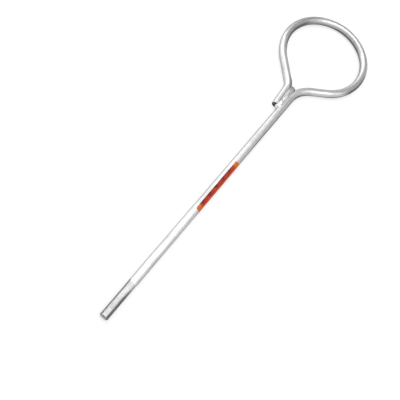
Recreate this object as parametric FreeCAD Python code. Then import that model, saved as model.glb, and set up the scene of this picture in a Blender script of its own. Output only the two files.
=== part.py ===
"""Anchor rod with a welded eye, lying flat on the ground.

One round steel bar is threaded at one end and bent at the other into a
large pear-shaped eye. Its tail comes back beside the shank, where a weld
fills the groove between the two. A thin identification label is wrapped
partly round the shank.

Frame: millimetres, +Z up, the ground at Z = 0. +Y runs along the shank
from the thread to the eye, and the tail lies on the -X side of the shank.
The origin is the middle of the bottom of the whole rod's bounding box.

The eye is worked out in plan, on the middle line of the bar. Going round
from the shank it is: neck bend, leg, near shoulder, crown, far shoulder,
return leg, tail bend and tail. Every bend is tangent to what it joins.
"""

import math
import os
from collections import namedtuple

import FreeCAD
import Part
from FreeCAD import Vector

# Bar and thread.
BAR_DIA = 16.2
THREAD_DIA = 15.8
THREAD_LENGTH = 75.0
THREAD_RUNOUT = 3.0
POINT_CHAMFER = 1.6
SHANK_LENGTH = 491.0

# Eye on the shank's side: bend out of the shank, straight leg, shoulder.
NECK_BEND_RADIUS = 66.6
LEG_ANGLE = 49.5
LEG_LENGTH = 36.2
SHOULDER_RADIUS = 101.7

# Crown, the tighter arc across the far end of the eye. Each reach is the
# angle from the crown's top to where a shoulder takes over.
CROWN_RADIUS = 84.2
CROWN_NEAR_REACH = 78.9
CROWN_FAR_REACH = 18.5

# Eye on the tail's side.
FAR_SHOULDER_RADIUS = 98.7
RETURN_LEG_ANGLE = 44.8
TAIL_BEND_RADIUS = 31.5

# Tail beside the shank. Its sheared end is drawn into the shank's side by
# the weld, and its lean closes it toward the shank.
TAIL_LENGTH = 47.0
TAIL_LEAN = 4.9
TAIL_SINK = 2.2
TAIL_EDGE_BREAK = 0.8

# Weld that fills the groove between tail and shank.
WELD_RADIUS = 8.0
WELD_LIFT = 0.9
WELD_PAST_TAIL_END = 5.5
WELD_PAST_TAIL_BEND = 13.0

# Identification label, measured along the shank and round it. Angles are
# clockwise from straight up, seen from the threaded end.
LABEL_START = 247.5
LABEL_LENGTH = 126.0
LABEL_FROM_ANGLE = -6.0
LABEL_WRAP_ANGLE = 150.0
LABEL_THICKNESS = 0.3
LABEL_CORNER_RADIUS = 2.0
LABEL_GLUE = 0.15

BAR_R = BAR_DIA / 2
UP = Vector(0, 0, 1)
ALONG = Vector(0, 1, 0)

Run = namedtuple("Run", "start end")
Bend = namedtuple("Bend", "centre radius start_angle end_angle")
Eye = namedtuple("Eye", "pieces tail_start tail_end")


def rad(degrees):
    """Radians of an angle in degrees."""
    return math.radians(degrees)


def heading(degrees):
    """Unit vector in plan that leans this far from +Y toward +X."""
    return Vector(math.sin(rad(degrees)), math.cos(rad(degrees)), 0)


def right_of(way):
    """Unit vector a quarter turn clockwise from a direction in plan."""
    return Vector(way.y, -way.x, 0)


def angle_of(vector):
    """Angle of a plan vector from +X, in degrees."""
    return math.degrees(math.atan2(vector.y, vector.x))


def bend_between(centre, start, end, clockwise):
    """Bend about a centre from one plan point to another."""
    first = angle_of(start - centre)
    last = angle_of(end - centre)
    if clockwise and last > first:
        last -= 360
    if not clockwise and last < first:
        last += 360
    return Bend(centre, (start - centre).Length, first, last)


def line_meeting(point_a, way_a, point_b, way_b):
    """Plan point where two straight lines cross."""
    across = way_a.x * way_b.y - way_a.y * way_b.x
    gap = point_b - point_a
    reach = (gap.x * way_b.y - gap.y * way_b.x) / across
    return point_a + way_a * reach


def near_side():
    """Neck bend, leg and near shoulder, and the centre of the crown.

    The neck bend starts at the end of the plain shank.
    """
    neck_start = ALONG * (THREAD_LENGTH + SHANK_LENGTH)
    neck_centre = neck_start + Vector(NECK_BEND_RADIUS, 0, 0)
    leg_way = heading(LEG_ANGLE)
    neck_end = neck_centre - right_of(leg_way) * NECK_BEND_RADIUS
    leg_end = neck_end + leg_way * LEG_LENGTH
    shoulder_centre = leg_end - right_of(leg_way) * SHOULDER_RADIUS
    crown_side = heading(CROWN_NEAR_REACH)
    shoulder_end = shoulder_centre + crown_side * SHOULDER_RADIUS
    crown_centre = shoulder_end - crown_side * CROWN_RADIUS
    pieces = [
        bend_between(neck_centre, neck_start, neck_end, clockwise=True),
        Run(neck_end, leg_end),
        bend_between(shoulder_centre, leg_end, shoulder_end, clockwise=False),
    ]
    return pieces, shoulder_end, crown_centre



def tail_line():
    """How far the tail's end lies off the shank's middle, and its way.

    At the sheared end the two middle lines lie one bar's width apart, less
    what the weld draws the tail into the shank.
    """
    return BAR_DIA - TAIL_SINK, heading(180 - TAIL_LEAN)


def far_side(crown_start, crown_centre):
    """Crown, far shoulder, return leg, tail bend, and the tail's ends.

    The tail's end has its place beside the shank, so the tail bend lies
    where the return leg comes as near to the shank as the tail then needs.
    """
    crown_side = heading(-CROWN_FAR_REACH)
    crown_end = crown_centre + crown_side * CROWN_RADIUS
    shoulder_centre = crown_end - crown_side * FAR_SHOULDER_RADIUS
    leg_way = heading(180 - RETURN_LEG_ANGLE)
    leg_start = shoulder_centre + right_of(leg_way) * FAR_SHOULDER_RADIUS
    end_offset, tail_way = tail_line()
    turn = RETURN_LEG_ANGLE - TAIL_LEAN
    trim = TAIL_BEND_RADIUS * math.tan(rad(turn / 2))
    corner_offset = end_offset + (TAIL_LENGTH + trim) * tail_way.x
    corner = line_meeting(leg_start, leg_way, Vector(-corner_offset, 0, 0), ALONG)
    leg_end = corner - leg_way * trim
    tail_start = corner + tail_way * trim
    bend_centre = tail_start + right_of(tail_way) * TAIL_BEND_RADIUS
    pieces = [
        bend_between(crown_centre, crown_start, crown_end, clockwise=False),
        bend_between(shoulder_centre, crown_end, leg_start, clockwise=False),
        Run(leg_start, leg_end),
        bend_between(bend_centre, leg_end, tail_start, clockwise=True),
    ]
    return pieces, tail_start, tail_start + tail_way * TAIL_LENGTH


def eye_plan():
    """The whole eye in plan, with the rod's end at the origin."""
    near, crown_start, crown_centre = near_side()
    far, tail_start, tail_end = far_side(crown_start, crown_centre)
    return Eye(near + far, tail_start, tail_end)


def piece_points(piece):
    """The points that can be a piece's furthest in plan."""
    if isinstance(piece, Run):
        return [piece.start, piece.end]
    low, high = sorted((piece.start_angle, piece.end_angle))
    quarters = [90 * n for n in range(-8, 9) if low < 90 * n < high]
    angles = [low, high] + quarters
    return [piece.centre + heading(90 - angle) * piece.radius for angle in angles]


def origin_shift(eye):
    """Move that brings the middle of the rod's box to X = 0 and Y = 0."""
    points = [point for piece in eye.pieces for point in piece_points(piece)]
    left = min(point.x for point in points) - BAR_R
    right = max(max(point.x for point in points), 0) + BAR_R
    top = max(point.y for point in points) + BAR_R
    return Vector(-(left + right) / 2, -top / 2, 0)


def raised(point, height=BAR_R):
    """A plan point at a height above the ground."""
    return Vector(point.x, point.y, height)


def straight_bar(start, end, radius=BAR_R):
    """Straight round bar between two plan points."""
    way = end - start
    return Part.makeCylinder(radius, way.Length, raised(start), way)


def bent_bar(bend):
    """Round bar bent about a centre: a disc turned about that centre."""
    spoke = heading(90 - bend.start_angle)
    middle = raised(bend.centre + spoke * bend.radius)
    disc = Part.Face(Part.Wire(Part.makeCircle(BAR_R, middle, right_of(spoke))))
    return disc.revolve(raised(bend.centre), UP, bend.end_angle - bend.start_angle)


def bar_piece(piece):
    """Solid of one run or bend of the eye."""
    if isinstance(piece, Run):
        return straight_bar(piece.start, piece.end)
    return bent_bar(piece)


def taper(start, way, radius_start, radius_end, length):
    """Short cone along the bar."""
    return Part.makeCone(radius_start, radius_end, length, raised(start), way)


def threaded_end():
    """Thread's body at its major diameter, with its point and run-out."""
    thread_r = THREAD_DIA / 2
    point_end = ALONG * POINT_CHAMFER
    runout_start = ALONG * (THREAD_LENGTH - THREAD_RUNOUT)
    return [
        taper(Vector(), ALONG, thread_r - POINT_CHAMFER, thread_r, POINT_CHAMFER),
        straight_bar(point_end, runout_start, thread_r),
        taper(runout_start, ALONG, thread_r, BAR_R, THREAD_RUNOUT),
    ]


def shank():
    """Plain bar from the thread to the neck bend."""
    start = ALONG * THREAD_LENGTH
    return straight_bar(start, start + ALONG * SHANK_LENGTH)


def tail(eye):
    """Straight tail beside the shank, its sheared edge just broken."""
    way = (eye.tail_end - eye.tail_start).normalize()
    edge = eye.tail_end - way * TAIL_EDGE_BREAK
    return [
        straight_bar(eye.tail_start, edge),
        taper(edge, way, BAR_R, BAR_R - TAIL_EDGE_BREAK, TAIL_EDGE_BREAK),
    ]


def weld(eye):
    """Weld metal in the groove, from past the tail's end to the crotch.

    Its middle line lies halfway between the shank's and the tail's, and a
    little above them, so that the bead is crowned on top and shy below.
    """
    height = BAR_R + WELD_LIFT
    low_y = eye.tail_end.y + WELD_RADIUS - WELD_PAST_TAIL_END
    high_y = eye.tail_start.y + WELD_PAST_TAIL_BEND - WELD_RADIUS
    low = Vector(eye.tail_end.x / 2, low_y, height)
    high = Vector(eye.tail_start.x / 2, high_y, height)
    way = high - low
    return [
        Part.makeSphere(WELD_RADIUS, low),
        Part.makeCylinder(WELD_RADIUS, way.Length, low, way),
        Part.makeSphere(WELD_RADIUS, high),
    ]


def eye_rod(eye):
    """The bar from its thread round the eye to its tail, as one solid."""
    solids = threaded_end() + [shank()] + [bar_piece(piece) for piece in eye.pieces]
    solids += tail(eye)
    bar = solids[0].multiFuse(solids[1:])
    return bar.multiFuse(weld(eye)).removeSplitter()


def label():
    """Thin label curved to the shank, with rounded corners.

    A narrow upright strip is turned about the shank's middle line into a
    blank that is thick enough to round its four corners. The blank is then
    skimmed to the label's thickness.
    """
    axis = raised(Vector())
    inside = BAR_R + LABEL_GLUE
    low = Vector(0, LABEL_START, BAR_R + inside)
    along = ALONG * LABEL_LENGTH
    blank = LABEL_THICKNESS + LABEL_CORNER_RADIUS / 2
    out = UP * blank
    section = Part.Face(Part.makePolygon([low, low + along, low + along + out, low + out, low]))
    section.rotate(axis, ALONG, LABEL_FROM_ANGLE)
    sheet = section.revolve(axis, ALONG, LABEL_WRAP_ANGLE)
    corners = [edge for edge in sheet.Edges if abs(edge.Length - blank) < 1e-6]
    rounded = sheet.makeFillet(LABEL_CORNER_RADIUS, corners)
    start = axis + ALONG * LABEL_START
    skim = Part.makeCylinder(inside + LABEL_THICKNESS, LABEL_LENGTH, start, ALONG)
    return rounded.common(skim)


def main():
    """Write each piece as a STEP file in the rod's own frame."""
    os.makedirs("parts", exist_ok=True)
    eye = eye_plan()
    shift = origin_shift(eye)
    nodes = {"eye_rod": eye_rod(eye), "marker_label": label()}
    for name, shape in nodes.items():
        shape.translate(shift)
        shape.exportStep(f"parts/{name}.step")
        print(name, len(shape.Solids), "solid", round(shape.Volume), "mm3", shape.isValid())


main()
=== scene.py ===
"""Dressed model of the anchor rod with a welded eye, lying on a pale floor.

Everything is in metres in the rod's own frame: +Z up, the floor at Z = 0,
+Y along the shank from the thread to the eye. The bar's plan is worked out
from the same named sizes as its solid, and each visible surface is a
function of two parameters on a grid: the run along a line, in millimetres,
and the turn round it, in radians from its right-hand side up.
"""

import logging
import math
from dataclasses import dataclass
from enum import Enum
from functools import partial, reduce

import bmesh
import bpy
import numpy as np
from mathutils import Matrix, Vector


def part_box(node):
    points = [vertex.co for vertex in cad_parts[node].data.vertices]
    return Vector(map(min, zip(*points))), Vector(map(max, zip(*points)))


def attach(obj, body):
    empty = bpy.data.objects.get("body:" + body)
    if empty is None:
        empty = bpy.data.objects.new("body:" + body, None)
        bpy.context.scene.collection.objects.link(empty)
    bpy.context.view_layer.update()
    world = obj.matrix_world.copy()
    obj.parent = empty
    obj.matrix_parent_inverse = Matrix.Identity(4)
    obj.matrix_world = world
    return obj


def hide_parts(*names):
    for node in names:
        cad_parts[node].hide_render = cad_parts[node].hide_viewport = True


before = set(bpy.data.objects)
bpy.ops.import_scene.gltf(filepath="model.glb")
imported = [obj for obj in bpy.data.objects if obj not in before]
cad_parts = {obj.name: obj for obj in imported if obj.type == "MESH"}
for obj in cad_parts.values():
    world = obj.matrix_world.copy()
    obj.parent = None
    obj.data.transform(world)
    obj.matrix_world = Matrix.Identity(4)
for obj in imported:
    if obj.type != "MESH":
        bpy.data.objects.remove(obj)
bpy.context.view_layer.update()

Array = np.ndarray
Colour = tuple[float, float, float, float]
Finish = bpy.types.Material
Piece = bpy.types.Object
Socket = bpy.types.NodeSocket

log = logging.getLogger("anchor_rod")
MM = 0.001
TURN = 2.0 * math.pi
QUARTER = 0.5 * math.pi
BODY = "root"
ROD_NODE = "eye_rod"
LABEL_NODE = "marker_label"
# Attribute of painted shade and painted reflections on the zinc, one value a point.
CHART = "surface"
# Attribute of weld stain beside the weld, and of painted shade down the shank and in the crotch of the
# eye.
PAINTED_SHADE = "painted_shade"
WELD_STAIN_AND_SHADE = "weld_stain_and_shade"
UP = np.array([0.0, 0.0, 1.0])
ALONG = np.array([0.0, 1.0, 0.0])
OUTLINE_SAMPLES = 4001


def stacked(*parts: Array | float) -> Array:
    """The parts, broadcast together and stacked on a new last axis."""
    return np.stack(np.broadcast_arrays(*parts), -1)


def heading(angle: Array) -> Array:
    """Direction (sin, cos, 0) in plan that leans by an angle from +Y toward +X."""
    return stacked(np.sin(angle), np.cos(angle), 0.0)


def round_turn(columns: int) -> Array:
    """Angles of evenly spaced columns once round, as one row."""
    return np.linspace(0.0, TURN, columns, endpoint=False)[None, :]


def waves(points: Array, length: float, seed: int, count: int = 14) -> Array:
    """Smooth unevenness: a sum of sine waves that run in random directions.

    Args:
        points: Points in millimetres, their last axis of size 3.
        length: Typical wavelength in millimetres.
        seed: Seed of the directions, so that each call gives the same result.
        count: How many waves are added; the sum is divided by its root.

    Returns:
        One value a point, mostly within -1 and 1.
    """
    draw = np.random.default_rng(seed)
    way = draw.normal(size=(3, count))
    way /= np.linalg.norm(way, axis=0)
    rate = TURN / (length * draw.uniform(0.6, 1.6, count))
    offset = draw.uniform(0, TURN, count)
    return np.sin(points @ (way * rate) + offset).sum(axis=-1) / math.sqrt(count)


def ease(value: Array, low: float, high: float) -> Array:
    """Smooth step from 0 at low to 1 at high, by the cubic 3t^2 - 2t^3."""
    share = np.clip((value - low) / (high - low), 0.0, 1.0)
    return share * share * (3.0 - 2.0 * share)


def fade(value: Array, low: float, high: float) -> Array:
    """Smooth step the other way, from 1 at low to 0 at high."""
    return 1.0 - ease(value, low, high)


def hump(value: Array, low: float, full: float, falls: float, gone: float) -> Array:
    """Smooth rise from low to full, times a smooth fall from falls to gone."""
    return ease(value, low, full) * fade(value, falls, gone)


def smoothed(values: Array, reach: int) -> Array:
    """Mean of each value and its neighbours up to a reach on both sides."""
    width = 2 * reach + 1
    return np.convolve(np.pad(values, reach, mode="edge"), np.full(width, 1 / width), mode="valid")


@dataclass(frozen=True)
class Stretch:
    """One straight or evenly bent stretch of the bar's middle line.

    Attributes:
        length: Length along the line in millimetres.
        rate: Turn to the right in radians a millimetre, 0 where straight.
    """

    length: float
    rate: float = 0.0

    @staticmethod
    def bend(radius: float, turn: float) -> "Stretch":
        """Bend of a radius through a turn in degrees, positive to the right."""
        return Stretch(radius * math.radians(abs(turn)), math.copysign(1.0 / radius, turn))


@dataclass(frozen=True)
class BarPlan:
    """Named sizes of the bent bar, in millimetres and degrees.

    Going round from the plain shank the line is: shank, neck bend, leg, near
    shoulder, crown, far shoulder, return leg, tail bend and tail. Each is
    tangent to the next.
    """

    bar_dia: float = 16.2
    thread_dia: float = 15.8
    thread_length: float = 75.0
    thread_runout: float = 3.0
    point_chamfer: float = 1.6
    shank_length: float = 491.0
    neck_bend_radius: float = 66.6
    leg_angle: float = 49.5
    leg_length: float = 36.2
    shoulder_radius: float = 101.7
    crown_radius: float = 84.2
    crown_near_reach: float = 78.9
    crown_far_reach: float = 18.5
    far_shoulder_radius: float = 98.7
    return_leg_angle: float = 44.8
    tail_bend_radius: float = 31.5
    tail_length: float = 47.0
    tail_lean: float = 4.9
    tail_sink: float = 2.2
    tail_edge_break: float = 0.8
    weld_radius: float = 8.0
    weld_lift: float = 0.9
    weld_past_tail_end: float = 5.5
    weld_past_tail_bend: float = 13.0

    @property
    def bar_r(self) -> float:
        """Radius of the plain bar."""
        return self.bar_dia / 2

    def stretches(self) -> list[Stretch]:
        """Every stretch of the line; the return leg closes it on the tail.

        Returns:
            The stretches in order, from the plain shank to the tail.
        """
        before = [
            Stretch(self.shank_length),
            Stretch.bend(self.neck_bend_radius, self.leg_angle),
            Stretch(self.leg_length),
            Stretch.bend(self.shoulder_radius, -(self.leg_angle + 90 - self.crown_near_reach)),
            Stretch.bend(self.crown_radius, -(self.crown_near_reach + self.crown_far_reach)),
            Stretch.bend(self.far_shoulder_radius, -(self.return_leg_angle + 90 - self.crown_far_reach)),
        ]
        after = [
            Stretch.bend(self.tail_bend_radius, self.return_leg_angle - self.tail_lean),
            Stretch(self.tail_length),
        ]
        reach = MiddleLine(before + after, self.thread_length).end[0]
        across = math.sin(math.radians(180 - self.return_leg_angle))
        leg = (self.tail_sink - self.bar_dia - reach) / across
        return before + [Stretch(leg)] + after


class MiddleLine:
    """Middle line of the bar in plan, in millimetres from the rod's end."""

    def __init__(self, stretches: list[Stretch], start_y: float) -> None:
        """Chains the stretches from a start on the shank's line.

        Args:
            stretches: The stretches in order.
            start_y: Distance of the first one from the rod's end.
        """
        self.length = np.array([one.length for one in stretches])
        self.rate = np.array([one.rate for one in stretches])
        self.start = np.concatenate([[0.0], np.cumsum(self.length)])
        turned = np.concatenate([[0.0], np.cumsum(self.length * self.rate)])
        self.turned = turned[:-1]
        steps = self._step(self.length, self.turned, self.rate)
        self.corner = np.concatenate([[[0.0, start_y, 0.0]], steps]).cumsum(axis=0)

    @property
    def end(self) -> Array:
        """The line's last point."""
        return self.corner[-1]

    @property
    def total(self) -> float:
        """Length of the whole line."""
        return float(self.start[-1])

    @staticmethod
    def _step(run: Array, turned: Array, rate: Array) -> Array:
        """Way gone along a stretch.

        On a bend of turn rate k from heading h the way gone after a run r is
        ((cos h - cos(h + k r)) / k, (sin(h + k r) - sin h) / k, 0). On a
        straight stretch it is r (sin h, cos h, 0).

        Args:
            run: Distances along the stretch.
            turned: Heading at its start, in radians.
            rate: Its turn rate.

        Returns:
            The ways, (..., 3).
        """
        bent = np.abs(rate) > 1e-9
        safe = np.where(bent, rate, 1.0)
        now = turned + safe * run
        curve = stacked((np.cos(turned) - np.cos(now)) / safe, (np.sin(now) - np.sin(turned)) / safe, 0.0)
        return np.where(bent[..., None], curve, run[..., None] * heading(turned))

    def at(self, run: Array) -> tuple[Array, Array, Array]:
        """Points, headings and turn rates at distances along the line.

        Args:
            run: Distances from the line's start, in millimetres.

        Returns:
            Points (..., 3) in plan, headings in radians, and turn rates.
        """
        index = np.clip(np.searchsorted(self.start, run, side="right") - 1, 0, len(self.length) - 1)
        local = run - self.start[index]
        rate = self.rate[index]
        point = self.corner[index] + self._step(local, self.turned[index], rate)
        return point, self.turned[index] + rate * local, rate


@dataclass(frozen=True)
class Placement:
    """Where the rod's own plan lies in the frame.

    Attributes:
        shift: What is added to a point of the plan, in millimetres.
    """

    shift: Array

    @staticmethod
    def of(plan: BarPlan, line: MiddleLine) -> "Placement":
        """Placement that puts the line's outside on the solid's own box.

        Args:
            plan: The bar's sizes.
            line: Its middle line.

        Returns:
            The placement.
        """
        low = np.array(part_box(ROD_NODE)[0]) / MM
        left = line.at(np.linspace(0.0, line.total, OUTLINE_SAMPLES))[0][:, 0].min()
        return Placement(np.array([low[0] + plan.bar_r - left, low[1], 0.0]))

    def metres(self, points: Array) -> Array:
        """Points of the rod's plan, in the frame and in metres."""
        return (points + self.shift) * MM


def ring(middle: Array, way: Array, turn: Array, radius: Array) -> Array:
    """Round surface about a line: middle + radius (cos turn side + sin turn up).

    Args:
        middle: Points on the middle line, (rows, columns or 1, 3) or one point.
        way: Level directions along the line, of such a shape too.
        turn: Angles round it from the right-hand side up, (rows or 1, columns).
        radius: Radius at each point, (rows, columns or 1).

    Returns:
        Points of the surface, (rows, columns, 3).
    """
    side = stacked(way[..., 1], -way[..., 0], 0.0)
    spoke = np.cos(turn)[..., None] * side + np.sin(turn)[..., None] * UP
    return middle + radius[..., None] * spoke


def chart_of(along: Array, around: Array) -> Array:
    """Surface map from distances along the rows and round the columns."""
    return stacked(along[:, None], around[None, :])


def face_chart(across: Array, up: Array) -> Array:
    """Map of a flat face in metres, with its first column again at the end."""
    chart = stacked(across, up) * MM
    return np.concatenate([chart, chart[:, :1]], axis=1)


class End(Enum):
    """How an end of a surface that closes round a line is finished."""

    OPEN = "left open, because another piece takes over"
    POLE = "closed on one point in its middle"


@dataclass
class Surface:
    """A surface over a grid of rows and columns.

    Attributes:
        name: Name of the object.
        grid: Points in metres, (rows, columns, 3).
        chart: The surface's own map in metres, (rows, columns, 2), with one
            more column than the grid where it closes round.
        closed: Whether the last column joins the first.
        first: How the first row is finished.
        last: How the last row is finished.
        sharp: Angle in degrees past which an edge stays sharp.
        join: Distance in metres within which points are made one, or 0.
    """

    name: str
    grid: Array
    chart: Array
    closed: bool = True
    first: End = End.OPEN
    last: End = End.OPEN
    sharp: float = 40.0
    join: float = 0.0

    def _walls(self) -> tuple[Array, Array]:
        """Faces between neighbouring rows and columns.

        Returns:
            Point numbers (faces, 4), and their map points (faces, 4, 2).
        """
        rows, columns = self.grid.shape[:2]
        row = np.arange(rows - 1)[:, None]
        column = np.arange(columns if self.closed else columns - 1)[None, :]
        after = (column + 1) % columns
        low, high = row * columns, (row + 1) * columns
        faces = stacked(low + column, high + column, high + after, low + after).reshape(-1, 4)
        spots = [(row, column), (row + 1, column), (row + 1, column + 1), (row, column + 1)]
        chart = np.stack([self.chart[one] for one in spots], -2).reshape(-1, 4, 2)
        return faces, chart

    def _fan(self, pole: int, row: int) -> tuple[Array, Array]:
        """Faces from a pole to one end row.

        Args:
            pole: Number of the pole's point.
            row: 0 for the first row, -1 for the last.

        Returns:
            Point numbers (columns, 3), and their map points (columns, 3, 2).
        """
        rows, columns = self.grid.shape[:2]
        column = np.arange(columns)
        after = (column + 1) % columns
        start = 0 if row == 0 else (rows - 1) * columns
        low, high = (column, after) if row == 0 else (after, column)
        faces = stacked(pole, start + low, start + high)
        middle = np.broadcast_to(self.chart[row].mean(axis=0), (columns, 2))
        edge = self.chart[row][column], self.chart[row][column + 1]
        low_map, high_map = edge if row == 0 else edge[::-1]
        return faces, np.stack([middle, low_map, high_map], -2)

    def build(self) -> Piece:
        """Puts the whole arrays into a mesh.

        Returns:
            The linked object at the origin, unturned, its place in its mesh.
        """
        points = [self.grid.reshape(-1, 3)]
        parts = [self._walls()]
        pole = self.grid.shape[0] * self.grid.shape[1]
        for end, row in ((self.first, 0), (self.last, -1)):
            if end is End.POLE:
                points.append(self.grid[row].mean(axis=0)[None])
                parts.append(self._fan(pole, row))
                pole += 1
        mesh = self._mesh(np.concatenate(points), parts)
        if self.join > 0.0:
            self._merge(mesh)
        mesh.set_sharp_from_angle(angle=math.radians(self.sharp))
        piece = bpy.data.objects.new(self.name, mesh)
        bpy.context.scene.collection.objects.link(piece)
        return piece

    def _mesh(self, points: Array, parts: list[tuple[Array, Array]]) -> bpy.types.Mesh:
        """Fills a new mesh from arrays.

        Args:
            points: All points in metres.
            parts: Faces as point numbers, each array with its map points.

        Returns:
            The mesh, smooth and with its map.
        """
        mesh = bpy.data.meshes.new(self.name)
        corners = np.concatenate([faces.ravel() for faces, _ in parts]).astype(np.int32)
        sizes = np.concatenate([np.full(len(faces), faces.shape[1]) for faces, _ in parts])
        starts = np.concatenate([[0], np.cumsum(sizes)[:-1]]).astype(np.int32)
        chart = np.concatenate([flat.reshape(-1, 2) for _, flat in parts])
        mesh.vertices.add(len(points))
        mesh.vertices.foreach_set("co", points.astype(np.float32).ravel())
        mesh.loops.add(len(corners))
        mesh.loops.foreach_set("vertex_index", corners)
        mesh.polygons.add(len(starts))
        mesh.polygons.foreach_set("loop_start", starts)
        mesh.polygons.foreach_set("use_smooth", np.ones(len(starts), bool))
        mesh.uv_layers.new(name=CHART).uv.foreach_set("vector", chart.astype(np.float32).ravel())
        mesh.update(calc_edges=True)
        mesh.validate()
        return mesh

    def _merge(self, mesh: bpy.types.Mesh) -> None:
        """Makes coincident points one and drops the faces that vanish.

        Args:
            mesh: The mesh, which is changed.
        """
        work = bmesh.new()
        work.from_mesh(mesh)
        bmesh.ops.remove_doubles(work, verts=work.verts, dist=self.join)
        work.to_mesh(mesh)
        work.free()
        mesh.update()


def mark(piece: Piece, name: str, values: Array) -> None:
    """Stores one value a point, in the grid's order, under a name that a finish reads."""
    layer = piece.data.attributes.new(name, "FLOAT", "POINT")
    layer.data.foreach_set("value", np.ascontiguousarray(values, np.float32).ravel())


def dressed(piece: Piece, finish: Finish, node: str = ROD_NODE) -> Piece:
    """Gives a piece its finish and its body, and hides the imported part of the node that it stands for.

    Args:
        piece: The piece.
        finish: Its material.
        node: The node that it replaces.

    Returns:
        The same piece.
    """
    piece.data.materials.append(finish)
    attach(piece, BODY)
    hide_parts(node)
    log.info("%s: %d faces", piece.name, len(piece.data.polygons))
    return piece


# Finishes


class Graph:
    """Small builder of a material's nodes."""

    def __init__(self, name: str) -> None:
        """Starts an empty material with its output.

        Args:
            name: Name of the material.
        """
        self.material = bpy.data.materials.new(name)
        self.material.use_nodes = True
        self.nodes = self.material.node_tree.nodes
        self.links = self.material.node_tree.links
        self.nodes.clear()
        self.output = self.nodes.new("ShaderNodeOutputMaterial")

    def node(self, kind: str, inputs: dict | None = None, **settings: object) -> bpy.types.Node:
        """Adds a node.

        Args:
            kind: The node's type without its common start.
            inputs: Values or sockets by input name or number.
            **settings: The node's own settings.

        Returns:
            The node.
        """
        made = self.nodes.new("ShaderNode" + kind)
        for key, value in settings.items():
            setattr(made, key, value)
        for key, value in (inputs or {}).items():
            if isinstance(value, Socket):
                self.links.new(value, made.inputs[key])
            else:
                made.inputs[key].default_value = value
        return made

    def place(self) -> Socket:
        """Object coordinates, in metres."""
        return self.node("TexCoord").outputs["Object"]

    def chart(self, along: float, around: float) -> Socket:
        """The surface's own map, scaled along it and round it."""
        vector = self.node("UVMap", uv_map=CHART).outputs["UV"]
        return self.node("Mapping", {"Vector": vector, "Scale": (along, around, 1.0)}).outputs[0]

    def chart_axes(self) -> list[Socket]:
        """The two values of the surface's own map, along it and round it."""
        split = self.node("SeparateXYZ", {0: self.node("UVMap", uv_map=CHART).outputs[0]})
        return split.outputs[:2]

    def attribute(self, name: str) -> Socket:
        """Value that the piece carries at each point under a name."""
        return self.node("Attribute", attribute_name=name).outputs["Fac"]

    def noise(self, vector: Socket, scale: float, detail: float = 3.0, rough: float = 0.55) -> Socket:
        """Cloudy value between 0 and 1 whose patches are about 1 / scale wide."""
        inputs = {"Vector": vector, "Scale": scale, "Detail": detail, "Roughness": rough}
        return self.node("TexNoise", inputs).outputs[0]

    def span(self, value: Socket, low: float, high: float, start: float = 0.0, end: float = 1.0) -> Socket:
        """Value moved smoothly from low..high to start..end and kept inside it."""
        inputs = {"Value": value, 1: low, 2: high, 3: start, 4: end}
        return self.node("MapRange", inputs, interpolation_type="SMOOTHSTEP").outputs[0]

    def maths(self, how: str, first: object, second: object = 0.0, third: object = 0.0) -> Socket:
        """One sum, product or other operation on two or three values."""
        return self.node("Math", {0: first, 1: second, 2: third}, operation=how).outputs[0]

    def product(self, *factors: object) -> Socket:
        """All the factors multiplied, from left to right."""
        return reduce(partial(self.maths, "MULTIPLY"), factors)

    def weighted(self, *pairs: tuple[Socket, float]) -> Socket:
        """Sum of values, each times its weight."""
        return reduce(partial(self.maths, "ADD"), [self.product(*pair) for pair in pairs])

    def mix(self, share: object, first: object, second: object) -> Socket:
        """Colour between two colours."""
        return self.node("Mix", {0: share, 6: first, 7: second}, data_type="RGBA").outputs[2]

    def bump(self, height: Socket, depth: float, below: Socket | None = None) -> Socket:
        """Normal of a relief this deep in metres, over another relief."""
        over = {} if below is None else {"Normal": below}
        return self.node("Bump", {"Height": height, "Distance": depth, "Strength": 1.0} | over).outputs[0]

    def surface(self, colour: object, rough: object, **inputs: object) -> Finish:
        """Closes the graph with the surface's shader.

        Args:
            colour: Its base colour, or a socket.
            rough: Its roughness, or a socket.
            **inputs: Its other inputs, with _ for each space of their names.

        Returns:
            The material.
        """
        named = {key.replace("_", " "): value for key, value in inputs.items()}
        shader = self.node("BsdfPrincipled", {"Base Color": colour, "Roughness": rough} | named)
        self.links.new(shader.outputs[0], self.output.inputs[0])
        return self.material


def grey(value: float, warmth: float = 0.0) -> Colour:
    """Grey of a linear value, warmed or cooled by a small share."""
    return value * (1 + warmth), value, value * (1 - warmth), 1.0


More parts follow.
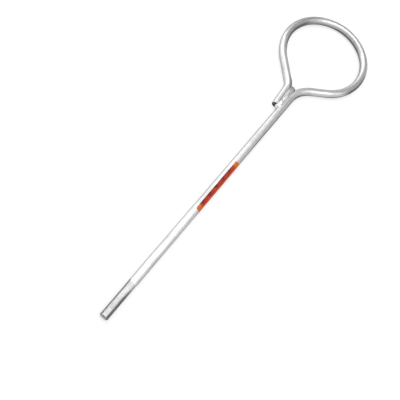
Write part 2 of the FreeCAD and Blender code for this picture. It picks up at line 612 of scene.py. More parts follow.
@dataclass(frozen=True)
class ZincCoat:
    """Hot-dip zinc: bright, slightly rough, with dull clouds and fine runs.

    Attributes:
        name: Name of the material.
        bright: Linear grey of the plain coat.
        dull: Linear grey of its dull clouds.
        deep: Linear grey of the painted shade and reflections, full where the piece's "dulled" is 1.
        stain: Linear colour of the weld stain and painted shade, full where its "weld_stain_and_shade" is
            1.
        metal: Share of bare metal in its shine; the rest is chalky.
        edge_tint: Linear grey of its reflection at a grazing angle.
        roughness: Lowest and highest roughness.
        grain: Depth of the fine grain in metres.
        clouds: How many clouds there are in a metre.
        crystals: How many zinc crystals there are in a metre.
        pebbles: How many low bumps there are in a metre.
        grains: How many grains there are in a metre.
    """

    name: str
    bright: float = 0.72
    dull: float = 0.54
    deep: float = 0.17
    stain: Colour = (0.05, 0.038, 0.033, 1.0)
    metal: float = 0.9
    edge_tint: float = 0.16
    roughness: tuple[float, float] = (0.36, 0.50)
    grain: float = 0.00002
    clouds: float = 28.0
    crystals: float = 210.0
    pebbles: float = 260.0
    grains: float = 1300.0

    def material(self) -> Finish:
        """Makes the material.

        Returns:
            The material. Clouds, crystals and grain read Object coordinates,
            and the drawn-out runs read the surface's own map.
        """
        graph = Graph(self.name)
        place = graph.place()
        clouds = graph.span(graph.noise(place, self.clouds, 4.0), 0.38, 0.68)
        runs = graph.span(graph.noise(graph.chart(14.0, 260.0), 1.0, 3.0, 0.6), 0.35, 0.75)
        cells = graph.node("TexVoronoi", {"Vector": place, "Scale": self.crystals}, feature="F1")
        facet = graph.node("SeparateColor", {0: cells.outputs["Color"]}).outputs[0]
        patch = graph.weighted((clouds, 0.5), (runs, 0.35), (facet, 0.15))
        colour = graph.mix(patch, grey(self.bright, -0.006), grey(self.dull, 0.004))
        rough = graph.span(patch, 0.1, 0.9, *self.roughness)
        colour, rough = self._shaded_and_stained(graph, colour, rough)
        low = graph.bump(graph.noise(place, self.pebbles, 2.0), self.grain * 2.6)
        relief = graph.bump(graph.noise(place, self.grains, 2.0), self.grain, low)
        tint = grey(self.edge_tint)
        return graph.surface(colour, rough, Metallic=self.metal, Specular_Tint=tint, Normal=relief)

    def _shaded_and_stained(self, graph: Graph, colour: Socket, rough: Socket) -> tuple[Socket, Socket]:
        """Adds the painted shade and reflections, and the streaks of weld stain and painted shade by the
        weld.

        Args:
            graph: The material's nodes.
            colour: Colour of the plain coat.
            rough: Its roughness.

        Returns:
            The new colour and roughness.
        """
        # Painted shade and reflections: toward the deep grey, and rougher, where the attribute is 1.
        painted_shade = graph.attribute(PAINTED_SHADE)
        colour = graph.mix(painted_shade, colour, grey(self.deep, 0.01))
        rough = graph.maths("MULTIPLY_ADD", painted_shade, 0.12, rough)
        # Weld stain beside the weld, and painted shade down the shank and in the crotch of the eye.
        near = graph.attribute(WELD_STAIN_AND_SHADE)
        streaks = graph.span(graph.noise(graph.chart(60.0, 520.0), 1.0, 4.0, 0.6), 0.36, 0.62, 0.7, 1.0)
        colour = graph.mix(graph.product(near, streaks), colour, self.stain)
        return colour, graph.maths("MULTIPLY_ADD", near, 0.08, rough)


@dataclass(frozen=True)
class WeldMetal:
    """Zinc over weld metal: rough, with grey-brown streaks along the bead.

    Attributes:
        name: Name of the material.
        bright: Linear grey of the plain high spots.
        highlight_grey: Linear grey of the painted highlight on the lower end.
        streak: Linear colour of the streaks.
        highlight_reach: Distance in metres over which the lower end keeps its painted highlight.
        dark_from: Distance in metres from which the upper end darkens.
        dark_over: Distance in metres over which it does so.
        edge: Distances in metres round the bead, from its shank side up,
            where the streaks begin and where they are full.
    """

    name: str = "zinc_on_weld"
    bright: float = 0.84
    highlight_grey: float = 0.95
    streak: Colour = (0.24, 0.215, 0.21, 1.0)
    highlight_reach: float = 0.013
    dark_from: float = 0.038
    dark_over: float = 0.022
    edge: tuple[float, float] = (0.0125, 0.0095)

    def material(self) -> Finish:
        """Makes the material.

        Returns:
            The material, whose map runs along and round the bead.
        """
        graph = Graph(self.name)
        place = graph.place()
        streaks = graph.span(graph.noise(graph.chart(60.0, 560.0), 1.0, 4.0, 0.62), 0.40, 0.60)
        clouds = graph.span(graph.noise(place, 160.0, 3.0), 0.35, 0.65)
        run, around = graph.chart_axes()
        # Painted highlight on the lower end: the bright grey there, without streaks.
        past = graph.span(run, self.highlight_reach * 0.85, self.highlight_reach * 1.4)
        past = graph.maths("MAXIMUM", past, graph.span(around, *self.edge))
        share = graph.product(graph.maths("MULTIPLY_ADD", streaks, 0.5, 0.08), past)
        upper = graph.span(run, self.dark_from, self.dark_from + self.dark_over, 0.0, 0.4)
        dark = graph.maths("ADD", graph.maths("ADD", share, graph.product(clouds, 0.2)), upper)
        colour = graph.mix(dark, graph.mix(past, grey(self.highlight_grey), grey(self.bright)), self.streak)
        rough = graph.span(dark, 0.0, 1.0, 0.34, 0.6)
        low = graph.bump(graph.product(streaks, past), 0.00014)
        relief = graph.bump(graph.noise(place, 700.0, 3.0), 0.00006, low)
        return graph.surface(colour, rough, Metallic=0.6, Specular_Tint=grey(0.05), Normal=relief)


@dataclass(frozen=True)
class ShearedSteel:
    """Face of a sheared or sawn end: drawn marks across it, little zinc.

    Attributes:
        name: Name of the material.
        light: Linear grey of the burnished part.
        dark: Linear grey of the torn part.
        marks: How many marks there are in a metre.
        metal: Share of bare metal in its shine.
        depth: Depth of marks and grain in metres.
    """

    name: str
    light: float
    dark: float
    marks: float = 700.0
    metal: float = 0.7
    depth: float = 0.0002

    def material(self) -> Finish:
        """Makes the material.

        Returns:
            The material, whose map runs across the face.
        """
        graph = Graph(self.name)
        place = graph.place()
        marks = graph.noise(graph.chart(self.marks * 0.12, self.marks), 1.0, 3.0, 0.6)
        torn = graph.span(graph.noise(place, 170.0, 4.0), 0.4, 0.62)
        dark = graph.weighted((torn, 0.7), (marks, 0.4))
        colour = graph.mix(dark, grey(self.light, 0.01), grey(self.dark, 0.03))
        rough = graph.span(dark, 0.1, 0.9, 0.4, 0.7)
        relief = graph.bump(marks, self.depth, graph.bump(graph.noise(place, 700.0, 3.0), self.depth))
        return graph.surface(colour, rough, Metallic=self.metal, Normal=relief)


@dataclass(frozen=True)
class LabelFilm:
    """Printed film: orange ground, red field, dark edge line, plain marks.

    Attributes:
        name: Name of the material.
        ground: Linear colour of the orange ends.
        strip: Linear colour of the red-orange strip down its side.
        field: Linear colour of the red field.
        line: Linear colour of the dark edge line and its marks.
        worn: Linear colour where it is rubbed.
        cells: How many cells for marks there are along and round it.
    """

    name: str = "printed_film"
    ground: Colour = (0.64, 0.155, 0.03, 1.0)
    strip: Colour = (0.62, 0.085, 0.016, 1.0)
    field: Colour = (0.53, 0.042, 0.016, 1.0)
    line: Colour = (0.13, 0.008, 0.026, 1.0)
    worn: Colour = (0.72, 0.30, 0.12, 1.0)
    cells: tuple[float, float] = (38.0, 22.0)

    def material(self) -> Finish:
        """Makes the material.

        Returns:
            The material, whose map runs from 0 to 1 along the label, and
            from 0 to 1 round it from the edge on top of the shank.
        """
        graph = Graph(self.name)
        place = graph.place()
        run, turn = graph.chart_axes()
        inside = graph.product(graph.span(run, 0.08, 0.10), graph.span(run, 0.92, 0.90))
        colour = graph.mix(inside, self.ground, self.strip)
        colour = graph.mix(graph.product(inside, graph.span(turn, 0.36, 0.31)), colour, self.field)
        faded = graph.span(graph.noise(graph.chart(8.0, 5.0), 1.0, 2.0), 0.5, 0.62)
        colour = graph.mix(graph.product(faded, inside, 0.4), colour, self.ground)
        colour = graph.mix(graph.product(self._marks(graph, run, turn), 0.7), colour, self.line)
        beat = graph.maths("PINGPONG", graph.maths("MULTIPLY_ADD", run, 6.0, 0.7), 0.5)
        blot = graph.product(graph.span(beat, 0.32, 0.46, 0.0, 0.6), graph.span(turn, 0.30, 0.20))
        colour = graph.mix(graph.product(blot, inside), colour, self.line)
        edge = graph.product(graph.span(turn, 0.14, 0.10), inside)
        colour = graph.mix(graph.product(edge, graph.span(beat, 0.18, 0.30, 0.55, 1.0)), colour, self.line)
        wear = graph.noise(place, 240.0, 4.0, 0.6)
        colour = graph.mix(graph.span(wear, 0.58, 0.78, 0.0, 0.2), colour, self.worn)
        rough = graph.span(wear, 0.3, 0.7, 0.30, 0.48)
        relief = graph.bump(graph.noise(place, 90.0, 2.0), 0.00025)
        return graph.surface(colour, rough, Specular_IOR_Level=0.15, Normal=relief)

    def _marks(self, graph: Graph, run: Socket, turn: Socket) -> Socket:
        """Plain bars in rows across the red field, of uneven lengths.

        Args:
            graph: The material's nodes.
            run: The map's value along the label.
            turn: Its value round the label.

        Returns:
            1 on a bar and 0 beside it.
        """
        across, rows = self.cells
        row = graph.maths("FLOOR", graph.product(turn, rows))
        cell = graph.node("CombineXYZ", {0: graph.maths("FLOOR", graph.product(run, across)), 1: row})
        chance = graph.node("TexWhiteNoise", {0: cell.outputs[0]}, noise_dimensions="3D").outputs[0]
        within = graph.maths("PINGPONG", graph.product(turn, rows), 0.5)
        bar = graph.product(graph.span(chance, 0.45, 0.5), graph.span(within, 0.12, 0.22))
        sides = graph.product(graph.span(turn, 0.17, 0.19), graph.span(turn, 0.31, 0.29))
        ends = graph.product(graph.span(run, 0.12, 0.13), graph.span(run, 0.88, 0.87))
        return graph.product(bar, graph.product(sides, ends))


# Pieces of the rod


@dataclass(frozen=True)
class RodPiece:
    """What every piece of the rod is made from.

    Attributes:
        plan: Sizes of the bar and of the weld.
        line: The bar's middle line.
        place: Where the rod lies in the frame.
    """

    plan: BarPlan
    line: MiddleLine
    place: Placement


@dataclass(frozen=True)
class PaintedShadePatch:
    """Painted shade on one part of the eye, standing for dark reflections there.

    Attributes:
        bearing: Bearing of the inside of the bend where the patch lies, in
            degrees from +X.
        lean: How far from the upright its middle faces, in degrees: toward
            the inside of the bend, or, below nought, toward its outside.
        half: Half of its spread of bearings, in degrees.
        high: How far round the bar it reaches from its middle, in degrees.
        full: Its share where the painted shade is darkest.
    """

    bearing: float
    lean: float
    half: float
    high: float
    full: float

    def share(self, inward: Array, lean: Array) -> Array:
        """Its painted shade: full, times a fall with each of the two angles from its middle.

        Args:
            inward: Bearing of the inside of the bend, in radians.
            lean: How far from the upright the surface faces, in radians.

        Returns:
            One share for each row and column.
        """
        off = np.degrees(np.arccos(np.cos(inward - math.radians(self.bearing))))
        tilt = np.degrees(np.arccos(np.cos(lean - math.radians(self.lean))))
        return self.full * fade(off, 0.4 * self.half, self.half) * fade(tilt, 0.4 * self.high, self.high)


@dataclass(frozen=True)
class BentBar(RodPiece):
    """The plain bar from the thread round the eye to the sheared tail.

    Attributes:
        step: Distance between rows in millimetres.
        columns: Points round the bar.
        break_rows: Rows over the tail's edge break.
        swell: Depth in millimetres of the coat's unevenness.
        oval: Share by which the tightest bend flattens the bar.
        patches: Painted shade on the eye: inside the crown and the far shoulder, and on the outside of
            both shoulders.
        right_painted_shade: Distances along the bar, each with the share of the painted shade underneath
            that reaches up its right-hand side.
        left_painted_shade: The same for its left-hand side.
        weld_clear: Distances from the weld's middle line where its stain
            begins to fall, and where it is gone.
        crotch: How far past the weld's upper end the painted shade in the crotch of the eye has its
            middle.
        crotch_clear: Distances from there where it falls, and is gone.
    """

    step: float = 1.8
    columns: int = 72
    break_rows: int = 4
    swell: float = 0.05
    oval: float = 0.02
    patches: tuple[PaintedShadePatch, ...] = (
        PaintedShadePatch(-98.0, 107.0, 50.0, 45.0, 1.1),
        PaintedShadePatch(-2.0, 78.0, 48.0, 70.0, 0.95),
        PaintedShadePatch(-24.0, 20.0, 30.0, 85.0, 0.35),
        PaintedShadePatch(172.0, -72.0, 28.0, 64.0, 0.9),
        PaintedShadePatch(-12.0, -75.0, 28.0, 72.0, 0.5),
        PaintedShadePatch(-60.0, 105.0, 110.0, 28.0, 0.85),
    )
    right_painted_shade: tuple[tuple[float, float], ...] = (
        (530.0, 1.0), (555.0, 0.5), (600.0, 0.9), (740.0, 1.0), (775.0, 0.5),
        (850.0, 0.5), (890.0, 1.0), (950.0, 1.0), (1000.0, 0.3),
    )
    left_painted_shade: tuple[tuple[float, float], ...] = (
        (20.0, 1.0), (80.0, 0.5), (140.0, 0.0), (300.0, 0.0), (380.0, 1.0), (1080.0, 1.0), (1110.0, 0.4),
    )
    weld_clear: tuple[float, float] = (17.0, 27.0)
    crotch: float = 14.0
    crotch_clear: tuple[float, float] = (9.0, 24.0)

    def rows(self) -> tuple[Array, Array]:
        """Distances of the rows, and the bar's radius at each.

        The radius r is even up to the tail's edge break b. A distance d into
        the break it is r - d^2 / b.

        Returns:
            Distances along the line and radii, in millimetres.
        """
        edge = self.line.total - self.plan.tail_edge_break
        run = np.linspace(0.0, edge, int(edge / self.step))
        drop = self.plan.tail_edge_break * np.linspace(0.0, 1.0, self.break_rows + 1)[1:]
        radius = [np.full(len(run), self.plan.bar_r), self.plan.bar_r - drop * drop / drop[-1]]
        return np.concatenate([run, edge + drop]), np.concatenate(radius)

    def build(self, finish: Finish) -> Piece:
        """Builds the bar.

        At run s and angle t round it the surface is the middle line's point
        plus r(s, t) (cos t side + sin t up). The radius r is the plain one,
        times 1 - oval k cos 2t on a bend of relative tightness k, plus waves
        of the coat that die out at both ends.

        Args:
            finish: Material of the bar.

        Returns:
            The piece.
        """
        run, radius = self.rows()
        middle, turned, rate = self.line.at(run)
        tight = smoothed(np.abs(rate) * self.plan.tail_bend_radius, 6)
        turn = round_turn(self.columns)
        middle = middle[:, None, :] + UP * self.plan.bar_r
        way = heading(turned)[:, None, :]
        plain = radius[:, None] * (1.0 - self.oval * tight[:, None] * np.cos(2 * turn))
        spot = ring(middle, way, turn, plain)
        calm = hump(run, 0.0, 12.0, self.line.total - 8.0, self.line.total - 1.0)
        rough = waves(spot, 30.0, 11) + 0.5 * waves(spot, 9.0, 12) + 0.25 * waves(spot, 3.5, 13)
        grid = ring(middle, way, turn, plain + self.swell * calm[:, None] * rough)
        grid[..., 2] = np.maximum(grid[..., 2], 0.0)
        around = np.linspace(0.0, TURN * self.plan.bar_r, self.columns + 1)
        chart = chart_of((run + self.plan.thread_length) * MM, around * MM)
        piece = Surface("bent_bar", self.place.metres(grid), chart, sharp=50.0).build()
        mark(piece, PAINTED_SHADE, self.painted_shade(run, way, turn, rate))
        mark(piece, WELD_STAIN_AND_SHADE, self.weld_stain_and_shade(run, grid, turn))
        return dressed(piece, finish)

    def painted_shade(self, run: Array, way: Array, turn: Array, rate: Array) -> Array:
        """How much painted shade and painted reflection the coat gets, from 0 to 1: the largest of three
        shares.

        Underneath, the share rises with -sin t and toward the eye, times
        the side's own number from the two lists. Along the shank's
        right-hand edge it rises with cos t, a little less past the thread,
        and ends short of the neck. A patch's share falls off with the angle
        between its bearing and the way to the inside of the bend, and with
        the angle round the bar from its lean; patches keep to the bends
        that turn left.

        Args:
            run: Distance of each row along the bar.
            way: Direction of the bar at each row.
            turn: Angles round the bar.
            rate: Bend at each row; the eye's bends turn left, below nought.

        Returns:
            One share for each row and column.
        """
        within = smoothed((rate < 0).astype(float), 12)
        inward = np.arctan2(way[..., 0], -way[..., 1])
        lists = (self.right_painted_shade, self.left_painted_shade)
        right, left = (np.interp(run, *zip(*one))[:, None] for one in lists)
        side = np.where(np.cos(turn) > 0.0, right, left)
        # Painted shade: underneath and up the sides, along the shank's right-hand edge, and in patches on
        # the eye.
        share = (0.42 + 0.42 * ease(run, 160.0, 400.0))[:, None] * ease(-np.sin(turn), -0.68, 0.12) * side
        edge = 0.85 - 0.2 * ease(run, 20.0, 90.0) - 0.65 * ease(run, 430.0, 480.0)
        share = np.maximum(share, edge[:, None] * ease(np.cos(turn), 0.72, 1.0))
        for patch in self.patches:
            share = np.maximum(share, patch.share(inward, turn - QUARTER) * within[:, None])
        return share

    def weld_stain_and_shade(self, run: Array, grid: Array, turn: Array) -> Array:
        """How much weld stain and painted shade the coat gets, from 0 to 1.

        On the line's first half the share is the larger of two. Beside the
        weld it is weld stain on the flanks, full where sin t is from -0.25 to
        0.15, and is gone away from the weld's middle line and at its lower
        end. Down the shank's right-hand side it is painted shade, 0.75 at
        most. On the second half it is painted shade in the crotch, toward the
        inside of the eye, round a point past the weld's upper end.

        Args:
            run: Distance of each row along the bar.
            grid: The bar's surface.
            turn: Angles round the bar.

        Returns:
            One share for each row and column.
        """
        low, high = WeldBead(self.plan, self.line, self.place).ends()
        way = high - low
        along = np.clip((grid - low) @ way / (way @ way), 0.0, 1.0)
        apart = np.linalg.norm((grid - low - along[..., None] * way)[..., :2], axis=-1)
        flank = hump(np.sin(turn), -0.85, -0.25, 0.15, 0.8)
        beside = fade(apart, *self.weld_clear) * ease(along, 0.0, 0.2) * flank
        # Painted shade down the shank's right-hand side.
        down = 0.75 * hump(run, 250.0, 420.0, 500.0, 545.0)[:, None] * ease(np.cos(turn), 0.5, 0.95)
        # Painted shade in the crotch of the eye, past the weld's upper end.
        past = grid - high - self.crotch * way / np.linalg.norm(way)
        top = np.linalg.norm(past[..., :2], axis=-1)
        crotch = fade(top, *self.crotch_clear) * ease(-np.cos(turn), 0.0, 0.7)
        return np.where(run[:, None] > 0.5 * self.line.total, crotch, np.maximum(beside, down))


@dataclass(frozen=True)
class ThreadedEnd(RodPiece):
    """Rolled thread on the rod's end, and its flat point.

    Attributes:
        pitch: Distance between crests in millimetres, 11 in an inch.
        depth: Depth of the groove under its coat, in millimetres.
        crest: Half the flat of a crest, as a share of the pitch.
        root: Half the flat of a root, as a share of the pitch.
        swell: Depth in millimetres of the coat's unevenness.
        rows_a_turn: Rows in one pitch.
        columns: Points round the thread.
        rings: Rings on the point.
    """

    pitch: float = 25.4 / 11
    depth: float = 0.95
    crest: float = 0.13
    root: float = 0.13
    swell: float = 0.03
    rows_a_turn: int = 14
    columns: int = 96
    rings: int = 22

    def groove(self, phase: Array) -> Array:
        """Share of the groove's depth, from a flank's share f: 0.6 f + 0.4 (3f^2 - 2f^3).

        Args:
            phase: Phases of the pitch, whole numbers being crests.

        Returns:
            0 on a crest and 1 in a root.
        """
        off_crest = 0.5 - np.abs(phase % 1.0 - 0.5)
        flank = np.clip((off_crest - self.crest) / (0.5 - self.crest - self.root), 0.0, 1.0)
        return 0.6 * flank + 0.4 * flank * flank * (3.0 - 2.0 * flank)

    def radius(self, y: Array, phase: Array) -> Array:
        """Radius of the thread.

        It is the major radius less the groove, never more than the chamfer
        of the point allows, and it rises to the bar's over the run-out.

        Args:
            y: Distances from the rod's end.
            phase: Phases of the pitch.

        Returns:
            Radii in millimetres.
        """
        length, major = self.plan.thread_length, self.plan.thread_dia / 2
        runout = ease(y, length - self.plan.thread_runout, length)
        cut = fade(y, length - 2.6 * self.pitch, length - 0.6 * self.pitch)
        body = major + (self.plan.bar_r - major) * runout - self.depth * self.groove(phase) * cut
        return np.minimum(body, major - self.plan.point_chamfer + np.maximum(y, 0.0))

    def build_thread(self, finish: Finish) -> Piece:
        """Builds the thread.

        Rows follow the helix: at row w and angle t round the bar the point
        lies at y = w - pitch t / 2 pi, kept within the thread's length, so
        each row keeps one phase of the profile. Where rows leave the length
        they fall together and are made one.

        Args:
            finish: Material of the thread.

        Returns:
            The piece.
        """
        length = self.plan.thread_length
        count = int(math.ceil((length / self.pitch + 1.0) * self.rows_a_turn))
        row = (np.arange(count + 1) / self.rows_a_turn)[:, None]
        turn = np.linspace(0.0, TURN, self.columns + 1)[None, :]
        y = np.clip((row - turn / TURN) * self.pitch, 0.0, length)
        middle = stacked(0.0, y, self.plan.bar_r)
        plain = self.radius(y, np.broadcast_to(row, y.shape))
        spot = ring(middle, ALONG, turn, plain)
        calm = hump(y, 0.0, 3.0, length - 4.0, length)
        uneven = self.swell * calm * (waves(spot, 7.0, 21) + waves(spot, 2.0, 22))
        grid = self.place.metres(ring(middle, ALONG, turn, plain + uneven))
        chart = stacked(y * MM, turn * self.plan.bar_r * MM)
        piece = Surface("thread", grid, chart, closed=False, sharp=60.0, join=2e-6).build()
        self._mark_sides(piece)
        return dressed(piece, finish)

    def _mark_sides(self, piece: Piece) -> None:
        """Paints shade on the thread toward its sides and its underside, and darkens it over its point.

        The share rises with the level distance from the middle line, sooner
        on the right-hand side, and is high over the chamfer of the point.

        Args:
            piece: The thread, which gets its marks.
        """
        spots = np.empty(len(piece.data.vertices) * 3, np.float32)
        piece.data.vertices.foreach_get("co", spots)
        spots = spots.reshape(-1, 3) / MM - self.place.shift
        aside = spots[:, 0] / (self.plan.thread_dia / 2)
        along = ease(self.plan.thread_length - spots[:, 1], 0.0, 34.0)
        # Painted shade toward the right-hand side, the left edge and the underside; darker over the point.
        right = (0.4 + 0.5 * along) * ease(aside - 0.3 * (1.0 - along), 0.2, 0.65)
        left = 0.85 * ease(-aside, 0.58, 0.86)
        under = 0.8 * ease(self.plan.bar_r - spots[:, 2], -1.0, 5.0)
        point = 0.85 * fade(spots[:, 1], 0.9, 1.7)
        mark(piece, PAINTED_SHADE, reduce(np.maximum, (right, left, under, point)))
        mark(piece, WELD_STAIN_AND_SHADE, np.zeros(len(spots)))

    def build_point(self, finish: Finish) -> Piece:
        """Builds the rod's flat end.

        Rings of falling radius, dished toward the middle by a depth that
        grows with 1 - (share of the rim)^2, and roughened by waves; both
        die out at the rim.

        Args:
            finish: Material of the point.

        Returns:
            The piece.
        """
        rim = self.plan.thread_dia / 2 - self.plan.point_chamfer
        share = np.linspace(1.0, 0.04, self.rings)[:, None]
        flat = ring(UP * self.plan.bar_r, ALONG, round_turn(self.columns), rim * share)
        dish = 0.18 * (1.0 - share**2) + 0.04 * waves(flat, 3.0, 31) + 0.05
        flat[..., 1] += fade(share, 0.8, 1.0) * dish
        chart = face_chart(flat[..., 0], flat[..., 2])[::-1]
        surface = Surface("rod_point", self.place.metres(flat)[::-1], chart, first=End.POLE, sharp=60.0)
        return dressed(surface.build(), finish)


@dataclass(frozen=True)
class ShearedTail(RodPiece):
    """Sheared face of the tail.

    Attributes:
        columns: Points round the face.
        rings: Rings on the face.
        torn: Depth in millimetres of the torn half.
        slant: Turn of the step between the halves, in radians.
    """

    columns: int = 72
    rings: int = 26
    torn: float = 0.5
    slant: float = 0.35

    def build(self, finish: Finish) -> Piece:
        """Builds the face.

        Rings of falling radius. A slanting step sinks the torn half behind
        the burnished one, with waves on it, and both die out at the rim.

        Args:
            finish: Material of the face.

        Returns:
            The piece.
        """
        rim = self.plan.bar_r - self.plan.tail_edge_break
        middle, turned, _ = self.line.at(np.array([self.line.total]))
        way = heading(turned)[0]
        share = np.linspace(1.0, 0.03, self.rings)[:, None]
        turn = round_turn(self.columns)
        flat = ring(middle + UP * self.plan.bar_r, way, turn, rim * share)
        high = rim * share * np.sin(turn + self.slant)
        sink = self.torn * fade(high, -1.5, 1.2) + 0.10 * waves(flat, 2.6, 41) + 0.05
        grid = self.place.metres(flat - way * (fade(share, 0.82, 1.0) * sink)[..., None])
        chart = face_chart(rim * share * np.cos(turn), high)
        return dressed(Surface("sheared_face", grid, chart, last=End.POLE, sharp=60.0).build(), finish)


@dataclass(frozen=True)
class WeldBead(RodPiece):
    """Weld metal that fills the groove between the shank and the tail.

    Attributes:
        ripple_pitch: Distance between ripples in millimetres.
        ripple: Height of a ripple in millimetres.
        pass_width: Width in millimetres of the passes laid side by side.
        pass_height: Height of the passes in millimetres.
        lump: Height in millimetres of the bead's uneven lumps.
        columns: Points round the bead.
        body_rows: Rows between its round ends.
        bow_rows: Rows over each round end.
    """

    ripple_pitch: float = 2.4
    ripple: float = 0.09
    pass_width: float = 3.9
    pass_height: float = 0.30
    lump: float = 0.24
    columns: int = 96
    body_rows: int = 150
    bow_rows: int = 22

    def ends(self) -> tuple[Array, Array]:
        """Middles of the bead's two round ends, halfway across the groove.

        Returns:
            The lower and the upper one, as points of the plan.
        """
        plan = self.plan
        bend = self.line.at(np.array([self.line.total - plan.tail_length]))[0][0]
        tail = self.line.end
        low = np.array([tail[0] / 2, tail[1] + plan.weld_radius - plan.weld_past_tail_end, 0.0])
        high = np.array([bend[0] / 2, bend[1] + plan.weld_past_tail_bend - plan.weld_radius, 0.0])
        return low, high

    def build(self, finish: Finish) -> Piece:
        """Builds the bead.

        A round rod with half-sphere ends: at run w its radius is
        sqrt(R^2 - d^2), d being how far w lies inside an end's half sphere.
        Crescent ripples, long passes and lumps are added where it faces up
        or down, and shrink with the radius.

        Args:
            finish: Material of the bead.

        Returns:
            The piece.
        """
        low, high = self.ends()
        radius = self.plan.weld_radius
        length = float(np.linalg.norm(high - low))
        way = (high - low) / length
        bow = np.linspace(QUARTER, 0.06, self.bow_rows)
        body = np.linspace(0.0, length, self.body_rows)
        run = np.concatenate([-radius * np.sin(bow), body, length + radius * np.sin(bow[::-1])])
        shrink = [radius * np.cos(bow), np.full(self.body_rows, radius), radius * np.cos(bow[::-1])]
        wide = np.maximum(np.concatenate(shrink), 0.01)[:, None]
        turn = round_turn(self.columns)
        middle = (low + run[:, None] * way)[:, None, :] + UP * (self.plan.bar_r + self.plan.weld_lift)
        spot = ring(middle, way, turn, wide)
        lane = TURN * (radius * np.cos(turn) + 0.7 * waves(spot, 24.0, 52)) / self.pass_width
        passes = np.cos(lane)
        phase = (run[:, None] - 0.55 * passes + 0.5 * waves(spot, 14.0, 51)) / self.ripple_pitch
        crescents = 1.0 - 2.0 * np.abs(np.sin(math.pi * phase))
        lumps = waves(spot, 9.0, 53) + 0.5 * waves(spot, 3.0, 54)
        relief = self.ripple * crescents + self.pass_height * passes + self.lump * lumps
        facing = np.abs(np.sin(turn)) ** 0.7
        grid = self.place.metres(ring(middle, way, turn, wide + relief * facing * wide / radius))
        around = np.linspace(0.0, TURN * radius, self.columns + 1)
        chart = chart_of((run + radius) * MM, around * MM)
        surface = Surface("weld_bead", grid, chart, first=End.POLE, last=End.POLE, sharp=60.0)
        return dressed(surface.build(), finish)


@dataclass(frozen=True)
class ShankLabel(RodPiece):
    """Thin film wrapped partly round the shank, with rounded corners.

    Attributes:
        start: Distance of its lower end from the rod's end, in millimetres.
        length: Length along the shank in millimetres.
        from_angle: Angle of its upper edge, clockwise from straight up.
        wrap_angle: Angle that it covers.
        thickness: Thickness of the film in millimetres.
        glue: Thickness of the glue under it in millimetres.
        corner: Radius of its corners in millimetres.
        columns: Points across each of its two faces.
        rows: Rows from corner to corner along it.
        corner_rows: Rows over each corner.
    """

    start: float = 247.5
    length: float = 126.0
    from_angle: float = -6.0
    wrap_angle: float = 150.0
    thickness: float = 0.3
    glue: float = 0.15
    corner: float = 2.0
    columns: int = 41
    rows: int = 120
    corner_rows: int = 9

    def build(self, finish: Finish) -> Piece:
        """Builds the film as a closed shell.

        A row is a loop: out over the film's face and back under it. Within
        a corner's radius c of an end, at distance d from it, the loop is
        narrower by c - sqrt(c^2 - (c - d)^2) at each edge. On the first and
        last loops face and back fall together and close the shell.

        Args:
            finish: Material of the film.

        Returns:
            The piece.
        """
        toe = self.corner * (1.0 - np.cos(np.linspace(0.0, QUARTER, self.corner_rows)))
        body = np.linspace(self.corner, self.length - self.corner, self.rows)[1:-1]
        run = np.concatenate([[0.0], toe, body, self.length - toe[::-1], [self.length]])
        short = np.maximum(self.corner - np.minimum(run, self.length - run), 0.0)
        inset = self.corner - np.sqrt(np.maximum(self.corner**2 - short**2, 0.0))
        mid_r = self.plan.bar_r + self.glue + self.thickness / 2
        half = math.radians(self.wrap_angle / 2) - inset / mid_r
        out = np.linspace(-1.0, 1.0, self.columns)
        across = np.concatenate([out, np.linspace(1.0, -1.0, self.columns)])[None, :]
        face = np.repeat([0.5, -0.5], self.columns)[None, :]
        closing = np.ones((len(run), 1))
        closing[[0, -1]] = 0.0
        angle = math.radians(self.from_angle + self.wrap_angle / 2) + across * half[:, None]
        radius = mid_r + face * self.thickness * closing
        middle = stacked(0.0, self.start + run, self.plan.bar_r)[:, None, :]
        grid = self.place.metres(ring(middle, ALONG, QUARTER - angle, radius))[::-1]
        share = np.concatenate([(across + 1.0) / 2, (across[:, :1] + 1.0) / 2], axis=1)
        chart = stacked((run / self.length)[:, None], share)[::-1]
        surface = Surface("shank_label", grid, chart, sharp=50.0, join=1e-6)
        return dressed(surface.build(), finish, LABEL_NODE)


# Room, light and camera


@dataclass(frozen=True)
class Floor:
    """Pale studio floor that rises into a round wall and keeps the shadow.

    Attributes:
        flat: Radius of the level part in metres.
        cove: Radius of the rise in metres.
        height: Height of the wall's top in metres.
        tone: Linear grey of its paint.
        glow: White added where the floor itself is seen, straight or
            mirrored, but not where it lights the rod.
        rings: Rings on the level part.
        cove_rings: Rings on the rise.
        columns: Points round it.
    """

    flat: float = 3.4
    cove: float = 1.4
    height: float = 3.0
    tone: float = 0.38
    glow: float = 0.65
    rings: int = 11
    cove_rings: int = 25
    columns: int = 96

    def build(self) -> Piece:
        """Builds the floor by turning its profile about the upright.

        The profile is level out to the cove, a quarter circle there, and
        upright above it.

        Returns:
            The piece, staged.
        """
        bend = np.linspace(0.0, QUARTER, self.cove_rings)
        level = np.linspace(0.01, self.flat, self.rings + 1)[:-1]
        rim = self.flat + self.cove
        reach = np.concatenate([level, self.flat + self.cove * np.sin(bend), [rim]])
        rise = np.concatenate([np.zeros(self.rings), self.cove * (1.0 - np.cos(bend)), [self.height]])
        turn = round_turn(self.columns)
        out = reach[:, None]
        grid = stacked(out * np.cos(turn), out * np.sin(turn), rise[:, None])
        chart = chart_of(reach, np.linspace(0.0, TURN, self.columns + 1))
        piece = Surface("floor", grid, chart, first=End.POLE).build()
        piece.data.materials.append(self._paint())
        return piece

    def _paint(self) -> Finish:
        """Matt pale paint, with the glow for camera, mirror and glass rays.

        Returns:
            The material.
        """
        graph = Graph("pale_floor")
        rays = graph.node("LightPath").outputs
        kinds = [rays[f"Is {kind} Ray"] for kind in ("Camera", "Glossy", "Transmission")]
        glow = graph.product(reduce(partial(graph.maths, "MAXIMUM"), kinds), self.glow)
        light = {"Emission_Color": grey(1.0), "Emission_Strength": glow}
        return graph.surface(grey(self.tone), 0.9, Specular_IOR_Level=0.2, **light)


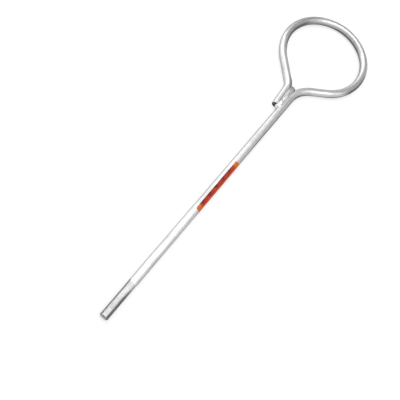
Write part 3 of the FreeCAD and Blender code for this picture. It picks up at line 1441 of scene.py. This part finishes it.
@dataclass(frozen=True)
class Softbox:
    """Flat lamp that faces a point.

    Attributes:
        name: Name of the lamp.
        place: Its middle in metres.
        aim: The point that it faces.
        width: Its level side in metres.
        height: Its other side in metres.
        glow: Brightness of its face, 1 being as bright as white paint in
            plain light.
        turn: How far it is turned about its own axis, in degrees.
    """

    name: str
    place: tuple[float, float, float]
    aim: tuple[float, float, float]
    width: float
    height: float
    glow: float
    turn: float = 0.0

    def hang(self) -> Piece:
        """Makes the lamp; its power is pi times its area times its glow.

        Returns:
            The lamp's object.
        """
        lamp = bpy.data.lights.new(self.name, "AREA")
        lamp.shape = "RECTANGLE"
        lamp.size, lamp.size_y = self.width, self.height
        lamp.energy = math.pi * self.width * self.height * self.glow
        piece = bpy.data.objects.new(self.name, lamp)
        piece.location = self.place
        facing = (Vector(self.aim) - Vector(self.place)).to_track_quat("-Z", "Y").to_matrix()
        piece.rotation_euler = (facing @ Matrix.Rotation(math.radians(self.turn), 3, "Z")).to_euler()
        bpy.context.scene.collection.objects.link(piece)
        return piece


@dataclass(frozen=True)
class Studio:
    """Soft light on the rod: a wide box overhead, one at its left, weak sky.

    Attributes:
        sky: Brightness of the even sky.
        boxes: The lamps.
    """

    sky: float = 0.05
    boxes: tuple[Softbox, ...] = (
        Softbox("overhead_box", (0.015, 0.17, 2.3), (0.015, 0.17, 0.0), 6.4, 2.5, 2.3, -14.0),
        Softbox("left_box", (-3.26, 1.27, 1.325), (0.0, 0.4, 1.325), 5.0, 1.95, 1.4),
    )

    def light(self) -> list[Piece]:
        """Hangs the lamps and sets an even pale sky.

        Returns:
            The lamps' objects.
        """
        world = bpy.data.worlds.new("studio_sky")
        world.use_nodes = True
        background = world.node_tree.nodes["Background"]
        background.inputs["Color"].default_value = grey(1.0)
        background.inputs["Strength"].default_value = self.sky
        bpy.context.scene.world = world
        bpy.context.scene.view_settings.view_transform = "Standard"
        return [box.hang() for box in self.boxes]


@dataclass(frozen=True)
class PhotoCamera:
    """Camera at the photograph's viewing angle.

    Attributes:
        place: Its place in metres.
        elevation: How far it looks down, in radians.
        roll: How far the picture is turned about the view, in radians.
        focal: Focal length as a share of the picture's side.
        sensor: Width of the sensor in millimetres.
        clip: Nearest and furthest distance that it sees, in metres.
    """

    place: tuple[float, float, float] = (-0.0019, -0.6199, 0.9781)
    elevation: float = 1.11
    roll: float = -0.70819
    focal: float = 611.006 / 400.0
    sensor: float = 36.0
    clip: tuple[float, float] = (0.05, 30.0)

    def build(self) -> Piece:
        """Makes the camera and gives it to the scene.

        The view looks along (0, cos e, -sin e). The picture's right and down
        are the level right and its own down, turned by the roll.

        Returns:
            The camera's object.
        """
        cos_e, sin_e = math.cos(self.elevation), math.sin(self.elevation)
        forward = Vector((0.0, cos_e, -sin_e))
        level, down = Vector((1.0, 0.0, 0.0)), Vector((0.0, -sin_e, -cos_e))
        cos_r, sin_r = math.cos(self.roll), math.sin(self.roll)
        right = level * cos_r + down * sin_r
        up = level * sin_r - down * cos_r
        data = bpy.data.cameras.new("photo_camera")
        data.sensor_width = self.sensor
        data.lens = self.focal * self.sensor
        data.clip_start, data.clip_end = self.clip
        piece = bpy.data.objects.new("photo_camera", data)
        turned = Matrix((right, up, -forward)).transposed().to_4x4()
        piece.matrix_world = Matrix.Translation(Vector(self.place)) @ turned
        bpy.context.scene.collection.objects.link(piece)
        bpy.context.scene.camera = piece
        return piece


def main() -> None:
    """Builds the rod piece by piece, then its floor, light and camera."""
    logging.basicConfig(level=logging.INFO, format="%(name)s: %(message)s")
    plan = BarPlan()
    line = MiddleLine(plan.stretches(), plan.thread_length)
    rod = (plan, line, Placement.of(plan, line))
    thread_coat = ZincCoat("zinc_thread", bright=0.80, dull=0.65, deep=0.15, metal=0.75)
    BentBar(*rod).build(ZincCoat("zinc_bar").material())
    ThreadedEnd(*rod).build_thread(thread_coat.material())
    ThreadedEnd(*rod).build_point(ShearedSteel("zinc_point", 0.95, 0.75, metal=0.2).material())
    ShearedTail(*rod).build(ShearedSteel("sheared_steel", 0.16, 0.05).material())
    WeldBead(*rod).build(WeldMetal().material())
    ShankLabel(*rod).build(LabelFilm().material())
    for piece in (Floor().build(), *Studio().light(), PhotoCamera().build()):
        log.info("%s: in place", piece.name)


if __name__ == "__main__":
    main()
